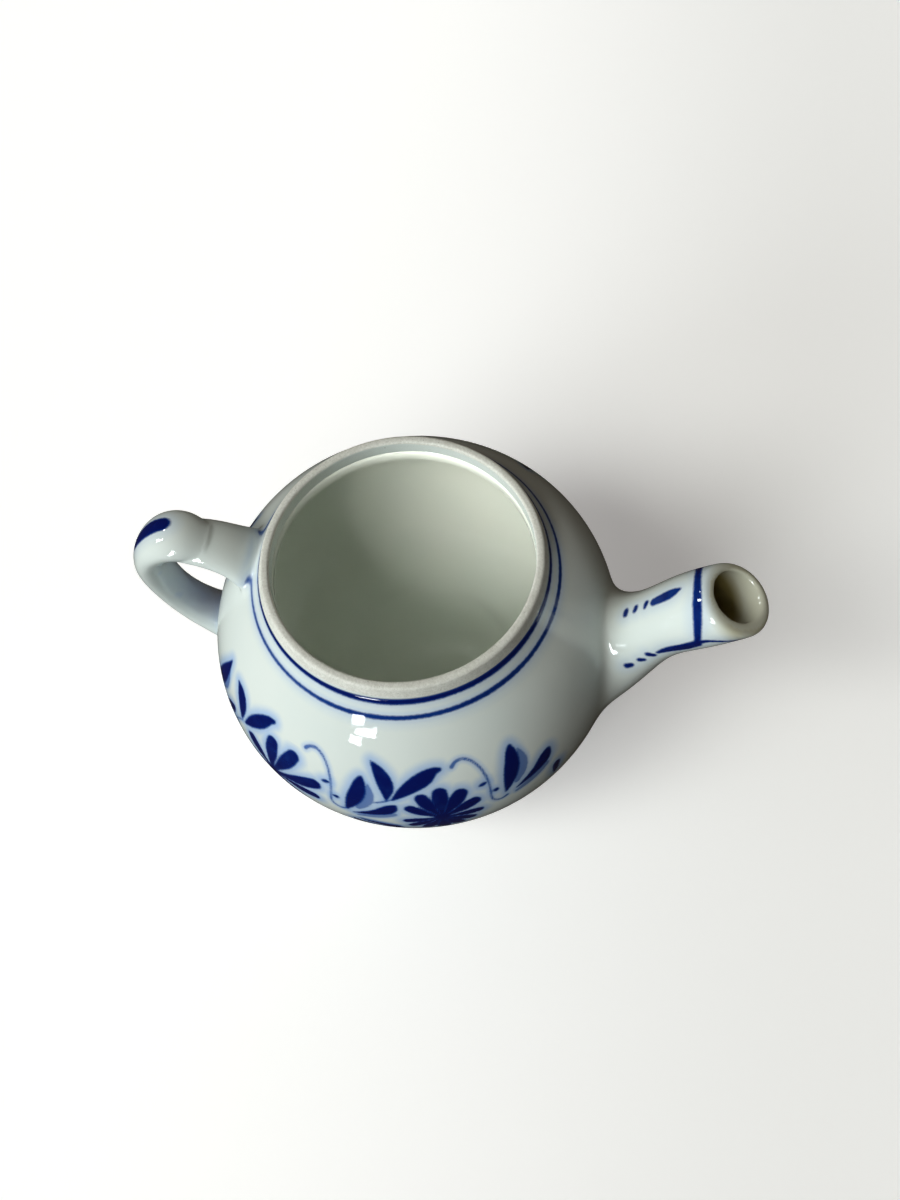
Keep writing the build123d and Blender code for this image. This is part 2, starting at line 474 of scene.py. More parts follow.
def stroke_distance(u, v, spots):
    """Distance from the edge of one brush stroke, negative inside it.

    A stroke is a few spots (along, up, half width) joined by a smooth line."""
    spots = np.array(spots, float)
    knots = np.concatenate([[0.0], np.cumsum(np.hypot(*np.diff(spots[:, :2], axis=0).T))])
    path, _ = spline_value(knots, spots, np.linspace(0, knots[-1], 8 * len(spots)))
    path[:, 2] = np.maximum(path[:, 2], 0.12)
    reach = 6.0
    distance = np.full(u.shape, FAR)
    near = (u > path[:, 0].min() - reach) & (u < path[:, 0].max() + reach)
    near &= (v > path[:, 1].min() - reach) & (v < path[:, 1].max() + reach)
    if not near.any():
        return distance
    un, vn = u[near], v[near]
    best = np.full(un.shape, FAR)
    for start, end in zip(path[:-1], path[1:]):
        du, dv = end[0] - start[0], end[1] - start[1]
        share = np.clip(((un - start[0]) * du + (vn - start[1]) * dv) / max(du * du + dv * dv, 1e-9), 0, 1)
        gap = np.hypot(un - start[0] - share * du, vn - start[1] - share * dv)
        best = np.minimum(best, gap - start[2] - share * (end[2] - start[2]))
    distance[near] = best
    return distance


class Paint:
    """Cobalt on a surface: distance from heavy and from pale strokes, and how full each is.

    The bleed says how far the blue spreads into the glaze round the strokes."""

    def __init__(self, count, bleed):
        self.ink = np.full(count, FAR)
        self.load = np.full(count, 0.5)
        self.wash = np.full(count, FAR)
        self.tone = np.full(count, 0.5)
        self.bleed = np.full(count, bleed)
        # painted shade: how much brown is mixed into the glaze where it lies in shade
        self.painted_shade = np.zeros(count)

    def heavy(self, distance, load):
        closer = distance < self.ink
        self.ink = np.where(closer, distance, self.ink)
        self.load = np.where(closer, load, self.load)

    def pale(self, distance, tone):
        closer = distance < self.wash
        self.wash = np.where(closer, distance, self.wash)
        self.tone = np.where(closer, tone, self.tone)

    def values(self):
        return {
            "ink": self.ink,
            "load": self.load,
            "wash": self.wash,
            "tone": self.tone,
            "bleed": self.bleed,
            "painted_shade": self.painted_shade,
        }


# strokes of one leafy sprig, from the foot of the tendril on its left
TALL_LEAF = [(4.8, 2.8, 0.5), (6.4, 7.0, 1.8), (8.0, 11.5, 2.7), (9.3, 16.0, 2.6), (9.9, 19.8, 1.7), (10.2, 21.6, 0.8)]
TALL_SHADOW = [(8.6, 5.5, 1.0), (11.3, 10.0, 1.9), (12.5, 15.0, 1.6), (12.2, 19.0, 0.5)]
POINTED_LEAF = [(17.6, 12.6, 0.3), (18.0, 15.0, 1.2), (18.1, 18.5, 2.4), (17.1, 22.5, 2.6), (15.2, 26.0, 1.7), (13.2, 28.6, 0.3)]
LONG_LEAF = [(19.6, 13.1, 0.4), (23.2, 16.9, 2.0), (27.3, 20.3, 2.9), (31.2, 23.0, 2.7), (34.2, 24.9, 1.4), (35.8, 25.2, 0.9)]
LOW_LEAF = [(6.9, 0.8, 0.3), (11.4, 2.9, 1.2), (15.8, 5.2, 2.1), (18.8, 7.6, 2.3), (20.3, 9.5, 1.0)]
LOW_SHADOW = [(8.0, -0.5, 0.8), (14.0, 1.6, 1.5), (19.5, 4.0, 1.2)]
STEM = [(12.8, 10.2, 0.3), (15.5, 11.1, 0.45), (18.2, 12.4, 0.45), (21.5, 13.8, 0.3)]
SPRIG_HEAVY = [(TALL_LEAF, 0.9), (POINTED_LEAF, 0.75), (LONG_LEAF, 0.85), (LOW_LEAF, 0.95)]
SPRIG_PALE = [(TALL_SHADOW, 0.8), (LOW_SHADOW, 0.7), (STEM, 1.0)]

# the sprig left of the front one, drawn wider and steeper by the same hand
WIDE_TALL_LEAF = [(1.0, 3.0, 0.8), (4.0, 8.0, 2.1), (6.2, 13.0, 2.9), (7.8, 18.5, 2.3), (8.5, 22.5, 1.2), (8.6, 24.8, 0.4)]
WIDE_POINTED_LEAF = [(22.9, 11.5, 0.4), (22.6, 14.5, 1.4), (21.9, 18.0, 2.4), (20.2, 21.0, 2.4), (17.8, 23.0, 1.2), (16.5, 23.7, 0.5)]
WIDE_LONG_LEAF = [(24.9, 11.5, 0.4), (27.2, 15.0, 1.7), (30.3, 19.2, 2.6), (33.5, 22.8, 2.3), (36.0, 25.3, 1.3), (37.4, 26.0, 0.8)]
WIDE_LOW_LEAF = [(9.5, 1.0, 0.5), (13.5, 5.0, 1.8), (16.6, 8.4, 1.9), (17.8, 10.6, 0.6)]
WIDE_HEAVY = [(WIDE_TALL_LEAF, 0.9), (WIDE_POINTED_LEAF, 0.8), (WIDE_LONG_LEAF, 0.85), (WIDE_LOW_LEAF, 0.95)]
WIDE_PALE = [([(a - 2.2, b + 1.5, half) for a, b, half in TALL_SHADOW], 0.8), (LOW_SHADOW, 0.7)]
WIDE_PALE += [([(19.5, 6.0, 0.5), (21.5, 8.8, 0.45), (23.4, 11.0, 0.4)], 0.8)]
BUD = [(22.4, -5.0, 0.5), (22.8, -1.5, 1.4), (23.2, 1.2, 1.5)]

# the curled tendril and its two ticks, from its own foot
TENDRIL = [
    (-10.2, 25.2, 0.8),
    (-8.4, 26.8, 0.65),
    (-6.2, 27.1, 0.6),
    (-3.8, 25.7, 0.55),
    (-1.7, 22.6, 0.5),
    (-0.4, 18.0, 0.5),
    (0.0, 13.0, 0.45),
    (-0.2, 8.0, 0.45),
    (-0.2, 5.0, 0.5),
    (0.7, 2.9, 0.5),
    (2.6, 1.8, 0.6),
    (4.6, 2.6, 0.7),
]
TICKS = [
    [(-3.0, 14.6, 0.45), (-2.1, 14.8, 0.8), (-0.9, 15.1, 0.45)],
    [(0.8, 9.8, 0.55), (1.7, 9.6, 0.9)],
]

# Each flower: azimuth of the tendril's foot, middle of the flower seen from there,
# and its petals as (direction in degrees, length, half width).
FRONT_PETALS = [(141, 13.8, 2.2), (112, 16.2, 2.5), (87, 17.2, 2.8), (60, 16.8, 2.8), (30, 14.8, 2.5), (-5, 13.4, 1.9)]
LEFT_PETALS = [(134, 15.6, 2.7), (89, 20.8, 2.8), (64, 23.8, 2.8), (32, 23.6, 2.8), (9, 19.4, 2.2)]
BACK_PETALS = [(142, 14.0, 2.1), (112, 15.8, 2.4), (84, 16.8, 2.6), (57, 16.2, 2.5), (29, 15.0, 2.3), (2, 14.0, 2.0)]
LOWER_PETALS = [(-34, 12.6, 2.0), (-62, 12.8, 2.2), (-90, 13.0, 2.3), (-118, 13.0, 2.2), (-146, 13.0, 2.0), (-172, 12.4, 1.8)]
FLOWERS = [
    (-59.9, (-16.4, 1.0), FRONT_PETALS),
    (-103.7, (-23.6, -0.4), LEFT_PETALS),
    (-166.0, (-19.5, 0.6), BACK_PETALS),
    (148.4, (-20.0, 0.2), BACK_PETALS),
    (96.4, (-19.0, 0.8), BACK_PETALS),
]
# azimuths of the sprigs, and how far each is lifted; the short one stands by the spout
SPRIGS = [
    (-103.7, 0.0, SPRIG_HEAVY, SPRIG_PALE),
    (-157.6, 0.0, WIDE_HEAVY, WIDE_PALE),
    (148.4, 0.4, SPRIG_HEAVY, SPRIG_PALE),
    (96.4, -0.6, SPRIG_HEAVY, SPRIG_PALE),
    (44.4, 0.3, SPRIG_HEAVY, SPRIG_PALE),
]
SHORT_SPRIG = (-59.9, 2.6)
TENDRILS = [-59.9, -103.7, 148.4, 96.4]


def moved(spots, along, up, spread=1.0):
    return [(along + a * spread, up + b, half) for a, b, half in spots]


def mirrored(spots, shrink):
    """A stroke turned over below the middle of the band."""
    return [(a * 0.96 + 1.0, -4.0 - b * shrink, half * 0.92) for a, b, half in spots]


def petal(middle, direction, length, half):
    """One petal as a stroke that swells towards its blunt end."""
    run, rise = math.cos(math.radians(direction)), math.sin(math.radians(direction))
    shares = [(0.12, 0.35), (0.4, 0.55), (0.72, 0.94), (1.0, 0.88)]
    reach = length - half
    return [
        (middle[0] + run * reach * part, middle[1] + rise * reach * part, half * swell)
        for part, swell in shares
    ]


def paint_band(paint, angle, length):
    """Paint the flowers, leaves and tendrils round the belly."""
    turn = 2 * math.pi * GIRTH_RADIUS
    girth = angle * GIRTH_RADIUS

    rng = np.random.default_rng(1885)

    def brush(azimuth, spots, load, pale=False):
        foot = math.radians(azimuth) * GIRTH_RADIUS
        along = (girth - foot + turn / 2) % turn - turn / 2
        distance = stroke_distance(along, length, spots)
        if pale:
            paint.pale(distance, load)
        else:
            paint.heavy(distance, np.clip(load + rng.uniform(-0.12, 0.08), 0, 1))

    def sprig(azimuth, lift, heavy, pale):
        for spots, load in heavy:
            brush(azimuth, moved(spots, rng.uniform(-0.3, 0.3), lift), load)
        for spots, tone in pale:
            brush(azimuth, moved(spots, 0.0, lift), tone, pale=True)

    def tendril(azimuth):
        brush(azimuth, moved(TENDRIL, 0.0, rng.uniform(-0.6, 0.2)), 0.95, pale=True)
        for spots in TICKS:
            brush(azimuth, moved(spots, 0.0, rng.uniform(-1.0, 0.5)), 0.8)

    for azimuth, lift, heavy, pale in SPRIGS:
        sprig(azimuth, lift, heavy, pale)
        low_heavy = [(mirrored(spots, 0.72), load) for spots, load in SPRIG_HEAVY]
        low_pale = [(mirrored(spots, 0.72), tone) for spots, tone in SPRIG_PALE]
        sprig(azimuth, 0.0, low_heavy, low_pale)
    short_azimuth, short_lift = SHORT_SPRIG
    sprig(
        short_azimuth,
        short_lift,
        [(TALL_LEAF, 1.0), (moved(LOW_LEAF, 1.3, 0.8), 0.95), (moved(BUD, 0.0, -2.6), 0.9)],
        [(TALL_SHADOW, 0.8), (LOW_SHADOW, 0.7)],
    )
    for azimuth, middle, petals in FLOWERS:
        for direction, reach, half in petals + LOWER_PETALS:
            brush(azimuth, petal(middle, direction, reach, half), rng.uniform(0.75, 1.0))
        brush(azimuth, [(*middle, 2.6), (middle[0] + 0.4, middle[1], 2.6)], 1.0)
    for azimuth in TENDRILS:
        tendril(azimuth)


# rings under the collar: how far below it, half width, wander, load, and how much
# of the width comes and goes round the pot
RINGS = [(0.25, 1.3, 0.15, 1.0, 0.75), (5.9, 0.75, 0.3, 0.45, 1.25)]
RING_WASH = 0.75


def paint_rings(paint, angle, below):
    """Paint the two hand-turned rings round the neck."""
    for number, (depth, half, wander, load, swell) in enumerate(RINGS):
        front = 0.5 + 0.5 * np.cos(angle + math.radians(75 - 25 * number))
        drift = wander * (np.sin(angle * 2 + number * 1.7) + 0.5 * np.sin(angle * 5 + 0.6))
        width = half * (1 - swell + swell * front) + 0.08 * np.sin(angle * 7 + number)
        shade = load * (0.62 + 0.5 * (0.5 + 0.5 * np.cos(angle + math.radians(40))))
        gap = np.abs(below - depth + 0.6 * drift)
        paint.heavy(gap - width, shade)
        paint.pale(gap - RING_WASH, 0.85)


# strokes on the spout, as (mm along, mm round from the top, half width)
SPOUT_COMMA = [(48.9, -0.1, 1.3), (51.8, 0.2, 1.6), (55.0, 0.7, 1.5), (57.8, 1.5, 0.35)]
SPOUT_DOTS = [
    [(45.6, -0.8, 0.6), (46.1, 0.6, 0.9)],
    [(41.5, -0.6, 0.8), (42.0, 0.5, 0.9)],
    [(37.7, -0.7, 0.95), (38.1, 0.5, 0.95)],
]
SIDE_COMMA = [(42.2, 0.1, 0.7), (46.5, 0.3, 1.5), (51.5, 0.8, 1.8), (56.6, 0.5, 1.7)]
SIDE_DOTS = [
    [(38.9, -0.9, 1.05), (39.9, 0.5, 1.0)],
    [(34.9, -0.5, 0.9), (35.7, 0.3, 0.85)],
    [(30.2, -1.1, 1.0), (31.2, -0.6, 0.95)],
]
SPOUT_SIDE_ANGLES = [-84.0, 84.0]
SPOUT_RING_SPOT = (86.8, 85.0)
SPOUT_RING_TILT = 9.0
SPOUT_RING_HALF = 1.15
LIP_LINE = [(57.6, 16.9, 1.1), (60.5, 17.3, 0.75), (64.5, 19.6, 0.6), (68.0, 22.6, 0.5)]
SPOUT_RING_END = 86.0


def paint_spout(points, place, across):
    """Paint commas, dots, the ring and the two lines that run to the lip, with painted shade in the bore and on the
    lip.
    """
    paint = Paint(len(points), 0.3)
    side = points[:, 1]
    turn = np.arctan2(side, across)
    outside = np.hypot(side, across) > 9.4
    # painted shade: brown that deepens into the bore, and brown on the lip where it faces away from the light
    bore_painted_shade = np.clip((SPOUT_LINE.length - place) / 7.0, 0.45, 1.0)
    lip_painted_shade = 0.6 * np.clip((place - SPOUT_LINE.length + 5.0) / 4.0, 0, 1)
    paint.painted_shade = np.where(outside, lip_painted_shade, bore_painted_shade)
    round_length = turn * 11.6

    def brush(spots, shift, load, flip=1.0):
        distance = stroke_distance(place, flip * round_length - shift, spots)
        paint.heavy(np.where(outside, distance, FAR), load)

    brush(SPOUT_COMMA, 0.0, 0.5)
    for spots in SPOUT_DOTS:
        brush(spots, 0.0, 0.9)
    for angle in SPOUT_SIDE_ANGLES:
        shift = math.radians(abs(angle)) * 11.6
        flip = math.copysign(1.0, angle)
        brush(SIDE_COMMA, shift, 0.7, flip)
        for spots in SIDE_DOTS:
            brush(spots, shift, 0.9, flip)
    for flip, lower in ((-1.0, 0.0), (1.0, 1.8)):
        brush(LIP_LINE, lower, 0.95, flip)
    tilt = math.radians(SPOUT_RING_TILT)
    plane = (points[:, 0] - SPOUT_RING_SPOT[0]) * math.cos(tilt)
    plane = plane + (points[:, 2] - SPOUT_RING_SPOT[1]) * math.sin(tilt)
    wave = 0.25 * np.sin(turn * 2.0 + 0.8)
    ring = np.abs(plane + wave) - SPOUT_RING_HALF + 0.15 * np.sin(turn * 3.0)
    past_end = (np.abs(turn) - math.radians(SPOUT_RING_END)) * 11.6
    ring = np.maximum(ring, past_end)
    paint.heavy(np.where(outside, ring, FAR), 0.72 - 0.22 * np.cos(turn * 2.0 + 0.5))
    return paint


# strokes on the handle, as (mm along the loop, mm across it, half width)
HANDLE_DROP = [(68.6, -2.4, 0.6), (71.5, -1.2, 1.9), (74.5, 0.0, 2.6), (77.6, 0.9, 2.7), (80.0, 1.3, 2.5)]
HANDLE_SMUDGES = [[(41.0, -3.6, 0.7), (43.0, -4.4, 0.5)], [(60.0, -4.8, 0.5), (61.5, -5.3, 0.4)]]


def paint_handle(points, place, across):
    """Paint the drop on the thumb rest and two faint smudges."""
    paint = Paint(len(points), 0.3)
    side = points[:, 1]
    drop = stroke_distance(place, side, HANDLE_DROP)
    paint.heavy(np.where(across > 0, drop, FAR), 0.9)
    for spots in HANDLE_SMUDGES:
        smudge = stroke_distance(place, side, spots)
        paint.pale(np.where(side < 0, smudge + 0.7, FAR), 0.1)
    return paint


# ======================================================================================
# Materials
# ======================================================================================


class Nodes:
    """Short-hand for building a node material."""

    def __init__(self, name):
        self.material = bpy.data.materials.new(name)
        self.material.use_nodes = True
        self.tree = self.material.node_tree
        self.tree.nodes.clear()
        self.output = self.tree.nodes.new("ShaderNodeOutputMaterial")
        self.place = self.add("ShaderNodeTexCoord").outputs["Object"]

    def add(self, kind, **settings):
        node = self.tree.nodes.new(kind)
        for key, value in settings.items():
            setattr(node, key, value)
        return node

    def put(self, socket, value):
        if isinstance(value, bpy.types.NodeSocket):
            self.tree.links.new(value, socket)
        else:
            socket.default_value = value

    def noise(self, scale, detail=2.0, rough=0.5):
        node = self.add("ShaderNodeTexNoise")
        self.put(node.inputs["Vector"], self.place)
        self.put(node.inputs["Scale"], scale)
        self.put(node.inputs["Detail"], detail)
        self.put(node.inputs["Roughness"], rough)
        return node.outputs["Fac"]

    def value(self, name):
        node = self.add("ShaderNodeAttribute", attribute_name=name)
        return node.outputs["Fac"]

    def math(self, operation, a, b=0.0):
        node = self.add("ShaderNodeMath", operation=operation)
        self.put(node.inputs[0], a)
        self.put(node.inputs[1], b)
        return node.outputs[0]

    def span(self, value, low, high, to_low=0.0, to_high=1.0, smooth=True):
        node = self.add("ShaderNodeMapRange")
        node.interpolation_type = "SMOOTHSTEP" if smooth else "LINEAR"
        for key, item in (("From Min", low), ("From Max", high), ("To Min", to_low), ("To Max", to_high)):
            self.put(node.inputs[key], item)
        self.put(node.inputs["Value"], value)
        return node.outputs["Result"]

    def mix(self, share, first, second):
        node = self.add("ShaderNodeMix", data_type="RGBA")
        self.put(node.inputs["Factor"], share)
        self.put(node.inputs["A"], first)
        self.put(node.inputs["B"], second)
        return node.outputs["Result"]

    def bump(self, height, strength, distance, normal=None):
        node = self.add("ShaderNodeBump")
        self.put(node.inputs["Strength"], strength)
        self.put(node.inputs["Distance"], distance)
        self.put(node.inputs["Height"], height)
        if normal is not None:
            self.put(node.inputs["Normal"], normal)
        return node.outputs["Normal"]

    def surface(self, **inputs):
        shader = self.add("ShaderNodeBsdfPrincipled")
        for key, item in inputs.items():
            self.put(shader.inputs[key.replace("_", " ")], item)
        self.tree.links.new(shader.outputs[0], self.output.inputs["Surface"])
        return self.material


GLAZE_WHITE = (0.780, 0.845, 0.815, 1.0)
GLAZE_COOL = (0.690, 0.795, 0.785, 1.0)
# painted shade: brown mixed into glaze that lies in shade
PAINTED_SHADE_BROWN = (0.400, 0.340, 0.140, 1.0)
COBALT_CORE = (0.0015, 0.007, 0.105, 1.0)
COBALT_MID = (0.006, 0.040, 0.235, 1.0)
COBALT_PALE = (0.050, 0.125, 0.390, 1.0)
COBALT_HALO = (0.310, 0.490, 0.800, 1.0)
BISCUIT = (0.690, 0.700, 0.635, 1.0)
BISCUIT_LIGHT = (0.860, 0.870, 0.810, 1.0)
BISCUIT_DARK = (0.330, 0.300, 0.240, 1.0)


def glaze_ground(n, white, cool):
    """White glaze with faint cool clouds and a few dark specks."""
    clouds = n.span(n.noise(28.0, 3.0), 0.35, 0.75)
    ground = n.mix(n.math("MULTIPLY", clouds, 0.35), white, cool)
    cells = n.add("ShaderNodeTexVoronoi", feature="F1")
    n.put(cells.inputs["Vector"], n.place)
    n.put(cells.inputs["Scale"], 130.0)
    speck = n.span(cells.outputs["Distance"], 0.035, 0.02)
    rare = n.span(cells.outputs["Color"], 0.78, 0.8)
    speck = n.math("MULTIPLY", n.math("MULTIPLY", speck, rare), 0.5)
    return n.mix(speck, ground, (0.25, 0.22, 0.18, 1.0))


def glaze_bump(n):
    """Slow unevenness of the poured glaze with a fine orange peel over it."""
    slow = n.bump(n.noise(55.0, 1.0), 0.2, 0.0009)
    return n.bump(n.noise(420.0, 1.0), 0.05, 0.0002, slow)


def painted_glaze():
    """Glossy glaze over cobalt strokes that bleed softly into it, with brown painted shade mixed in."""
    n = Nodes("painted_glaze")
    ground = glaze_ground(n, GLAZE_WHITE, GLAZE_COOL)
    # painted shade: brown mixed into the glaze ground by the painted shade value
    ground = n.mix(n.value("painted_shade"), ground, PAINTED_SHADE_BROWN)
    feather = n.math("MULTIPLY", n.math("SUBTRACT", n.noise(900.0, 3.0, 0.6), 0.5), 0.5)
    ink = n.math("ADD", n.value("ink"), feather)
    wash = n.math("ADD", n.value("wash"), feather)
    streak = n.math("MULTIPLY", n.math("SUBTRACT", n.noise(260.0, 2.0), 0.5), 0.7)
    load = n.math("ADD", n.value("load"), streak)
    bleed = n.value("bleed")
    halo = n.math("MULTIPLY", n.span(ink, 4.4, -0.6), n.math("MULTIPLY", bleed, 0.85))
    colour = n.mix(halo, ground, COBALT_HALO)
    wash_halo = n.math("MULTIPLY", n.span(wash, 1.8, 0.0), n.math("MULTIPLY", bleed, 0.5))
    colour = n.mix(wash_halo, colour, COBALT_HALO)
    wash_mask = n.math("MULTIPLY", n.span(wash, 0.35, -0.45), n.value("tone"))
    colour = n.mix(wash_mask, colour, COBALT_PALE)
    depth = n.span(ink, -0.05, -0.8)
    core = n.math("MULTIPLY", depth, n.span(load, 0.15, 0.85, 0.15, 1.0))
    stroke = n.mix(core, COBALT_MID, COBALT_CORE)
    colour = n.mix(n.span(ink, 0.5, -0.35), colour, stroke)
    rough = n.span(n.noise(120.0), 0.3, 0.7, 0.02, 0.045)
    return n.surface(
        Base_Color=colour,
        Roughness=rough,
        IOR=1.5,
        Normal=glaze_bump(n),
    )


def bare_porcelain(name, glaze_share):
    """Unglazed porcelain: warm, granular, with dark specks and worn patches."""
    n = Nodes(name)
    grain = n.span(n.noise(1500.0, 3.0, 0.7), 0.3, 0.75)
    patches = n.span(n.noise(210.0, 3.0, 0.6), 0.42, 0.68)
    colour = n.mix(grain, BISCUIT, BISCUIT_LIGHT)
    colour = n.mix(n.math("MULTIPLY", patches, 0.15), colour, BISCUIT_DARK)
    pits = n.span(n.noise(2200.0, 2.0, 0.6), 0.36, 0.26)
    colour = n.mix(n.math("MULTIPLY", pits, 0.55), colour, (0.20, 0.17, 0.13, 1.0))
    height = n.bump(n.noise(1700.0, 3.0, 0.7), 0.55, 0.00025)
    rough = n.span(grain, 0.0, 1.0, 0.55, 0.85)
    if glaze_share is None:
        return n.surface(Base_Color=colour, Roughness=rough, Normal=height)
    bare = n.value("bare")
    edge = n.math("ADD", bare, n.math("MULTIPLY", n.math("SUBTRACT", n.noise(300.0, 3.0), 0.5), 0.7))
    share = n.span(edge, 0.15, -0.15)
    ground = glaze_ground(n, GLAZE_WHITE, GLAZE_COOL)
    ink = n.value("ink")
    ground = n.mix(n.span(ink, 0.42, -0.32), ground, COBALT_MID)
    colour = n.mix(share, colour, ground)
    rough = n.span(share, 0.0, 1.0, 0.72, 0.06, smooth=False)
    return n.surface(Base_Color=colour, Roughness=rough, IOR=1.5, Normal=height)


# ======================================================================================
# Pieces
# ======================================================================================


def outline_normals(points, rows, faces_in):
    """Normals of a turned surface from the slope of its outline."""
    outline = np.array([(row[0], row[1]) for row in rows])
    slope = np.gradient(outline, axis=0)
    facing = np.stack([slope[:, 1], -slope[:, 0]], -1)
    facing /= np.sqrt((facing**2).sum(1, keepdims=True))
    normals = []
    for (radius, height, columns), (out, up) in zip(rows, facing):
        angle = np.arange(columns) * 2 * math.pi / columns
        normals.append(np.stack([out * np.cos(angle), out * np.sin(angle), np.full(columns, up)], -1))
    normals = np.concatenate(normals)
    while len(normals) < len(points):
        normals = np.concatenate([normals, [[0.0, 0.0, faces_in[len(points) - len(normals) - 1]]]])
    return normals


def paint_pot(paint, points):
    """Paint the rings and the flower band on points of the outside of the pot."""
    angle = np.arctan2(points[:, 1], points[:, 0])
    length = np.interp(points[:, 2], OUTER[:, 1], OUTER_LENGTH)
    below_collar = OUTER_LENGTH[-1] - length
    paint_band(paint, angle, length - BAND_ZERO)
    paint_rings(paint, angle, below_collar)
    return below_collar


def make_pot_body(material):
    """The turned pot: underside, painted outside, neck seat, inside and floor."""
    rows = [(2.0, UNDERSIDE_Z, PLAIN_COLUMNS), (20.0, UNDERSIDE_Z, PLAIN_COLUMNS)]
    rows += [(FOOT_INNER_RADIUS - UNDERSIDE_STEP, UNDERSIDE_Z, PLAIN_COLUMNS)]
    rows += [(FOOT_INNER_RADIUS, FOOT_HEIGHT, PLAIN_COLUMNS)]
    band_low, band_high = -30.0, 31.0
    top = OUTER_LENGTH[-1] - BAND_ZERO
    rows += [(r, z, PLAIN_COLUMNS) for r, z in outer_piece(-BAND_ZERO, band_low - 0.8, 1.3)]
    rows += [(r, z, BAND_COLUMNS) for r, z in outer_piece(band_low, band_high, 0.72)]
    rows += [(r, z, PLAIN_COLUMNS) for r, z in outer_piece(band_high + 0.6, top, 0.42)]
    rows += [(r, z, PLAIN_COLUMNS) for r, z in resampled(inner_outline(), 2.2)]
    points, faces = turned(rows, closed=False)
    paint = Paint(len(points), 1.0)
    radius = np.hypot(points[:, 0], points[:, 1])
    outside = np.abs(pot_distance(*points.T)) < 0.2
    below_collar = paint_pot(paint, points)
    paint.bleed = 0.35 + 0.65 * np.clip((below_collar - 9.0) / 4.0, 0, 1)
    inside = ~outside | (radius < FOOT_INNER_RADIUS + 1)
    paint.ink[inside] = FAR
    paint.wash[inside] = FAR
    # painted shade: the whole inside is tinted brown-olive as if it lies in shade
    paint.painted_shade[~outside] = 0.24
    piece = make_object("pot_body_glazed", points, faces, None, paint.values())
    finish_piece(piece, "pot_body", material)


def rounded_corner(corner, before, after, size, count=5):
    """Points that round one corner of an outline."""
    corner, before, after = (np.array(p, float) for p in (corner, before, after))
    start = corner + (before - corner) / np.hypot(*(before - corner)) * size
    end = corner + (after - corner) / np.hypot(*(after - corner)) * size
    t = np.linspace(0, 1, count)[:, None]
    return (1 - t) ** 2 * start + 2 * t * (1 - t) * corner + t**2 * end


def rounded_loop(corners, sizes, step):
    """A closed outline with rounded corners and points at about even steps."""
    run = []
    for k, (corner, size) in enumerate(zip(corners, sizes)):
        run.append(rounded_corner(corner, corners[k - 1], corners[(k + 1) % len(corners)], size))
    run.append(run[0][:1])
    return resampled(np.concatenate(run), step)[:-1]


def make_neck_collar(material):
    """The low collar round the mouth, with its bare and slightly uneven rim."""
    corners = [
        (MOUTH_RADIUS, COLLAR_Z - 0.4),
        (COLLAR_ROOT_RADIUS, COLLAR_Z - 0.4),
        (COLLAR_ROOT_RADIUS, COLLAR_Z),
        (RIM_RADIUS, RIM_Z),
        (MOUTH_RADIUS, RIM_Z),
    ]
    outline = rounded_loop(corners, [0.1, 0.1, 0.15, RIM_ROUND, RIM_ROUND], 0.42)
    rows = [(r, z, BAND_COLUMNS) for r, z in outline]
    points, faces = turned(rows, closed=True)
    angle = np.arctan2(points[:, 1], points[:, 0])
    rim = np.clip((points[:, 2] - RIM_Z + 1.6) / 1.6, 0, 1)
    uneven = sum(
        rng.uniform(0.3, 1.0) / wave**0.8 * np.sin(angle * wave + rng.uniform(0, 6.28))
        for wave in (2, 3, 5, 9, 14, 23, 37, 61)
    )
    points[:, 2] += rim * (uneven * 0.10 - 0.12)
    paint = Paint(len(points), 0.3)
    outside = np.hypot(points[:, 0], points[:, 1]) > MOUTH_RADIUS + 1.0
    glaze_edge = np.where(outside, COLLAR_Z + 1.2, RIM_Z - 0.9)
    bare = (glaze_edge - points[:, 2]) + 0.35 * np.sin(angle * 3 + 1.0)
    line = points[:, 2] - COLLAR_Z - 0.45 - 0.3 * np.sin(angle + 2.4)
    paint.heavy(np.where(outside, line, FAR), 0.9)
    values = paint.values()
    values["bare"] = -bare
    piece = make_object("neck_collar_bare_rim", points, faces, None, values)
    finish_piece(piece, "neck_collar", material)


def make_foot_ring(material):
    """The low foot, ground flat underneath."""
    corners = [
        (FOOT_INNER_RADIUS + FOOT_TAPER, 0.0),
        (FOOT_OUTER_RADIUS - FOOT_TAPER, 0.0),
        (FOOT_OUTER_RADIUS, FOOT_HEIGHT),
        (FOOT_INNER_RADIUS, FOOT_HEIGHT),
    ]
    outline = rounded_loop(corners, [FOOT_EDGE_ROUND, FOOT_EDGE_ROUND, 0.1, 0.1], 0.4)
    rows = [(r, z, PLAIN_COLUMNS) for r, z in outline]
    points, faces = turned(rows, closed=True)
    angle = np.arctan2(points[:, 1], points[:, 0])
    values = Paint(len(points), 0.0).values()
    values["bare"] = 1.5 - points[:, 2] + 0.3 * np.sin(angle * 4)
    piece = make_object("foot_ring_ground", points, faces, None, values)
    finish_piece(piece, "foot_ring", material)


SPOUT_LINE = Line(SPOUT_POINTS)
LOOP_LINE = Line(LOOP_POINTS)
ARM_LINE = Line(ARM_POINTS)


def read_along(line, stations, values, place):
    """Section size at places along a line."""
    share = np.clip(place / line.length, 0, 1)
    return spline_value(stations, values, share)[0]


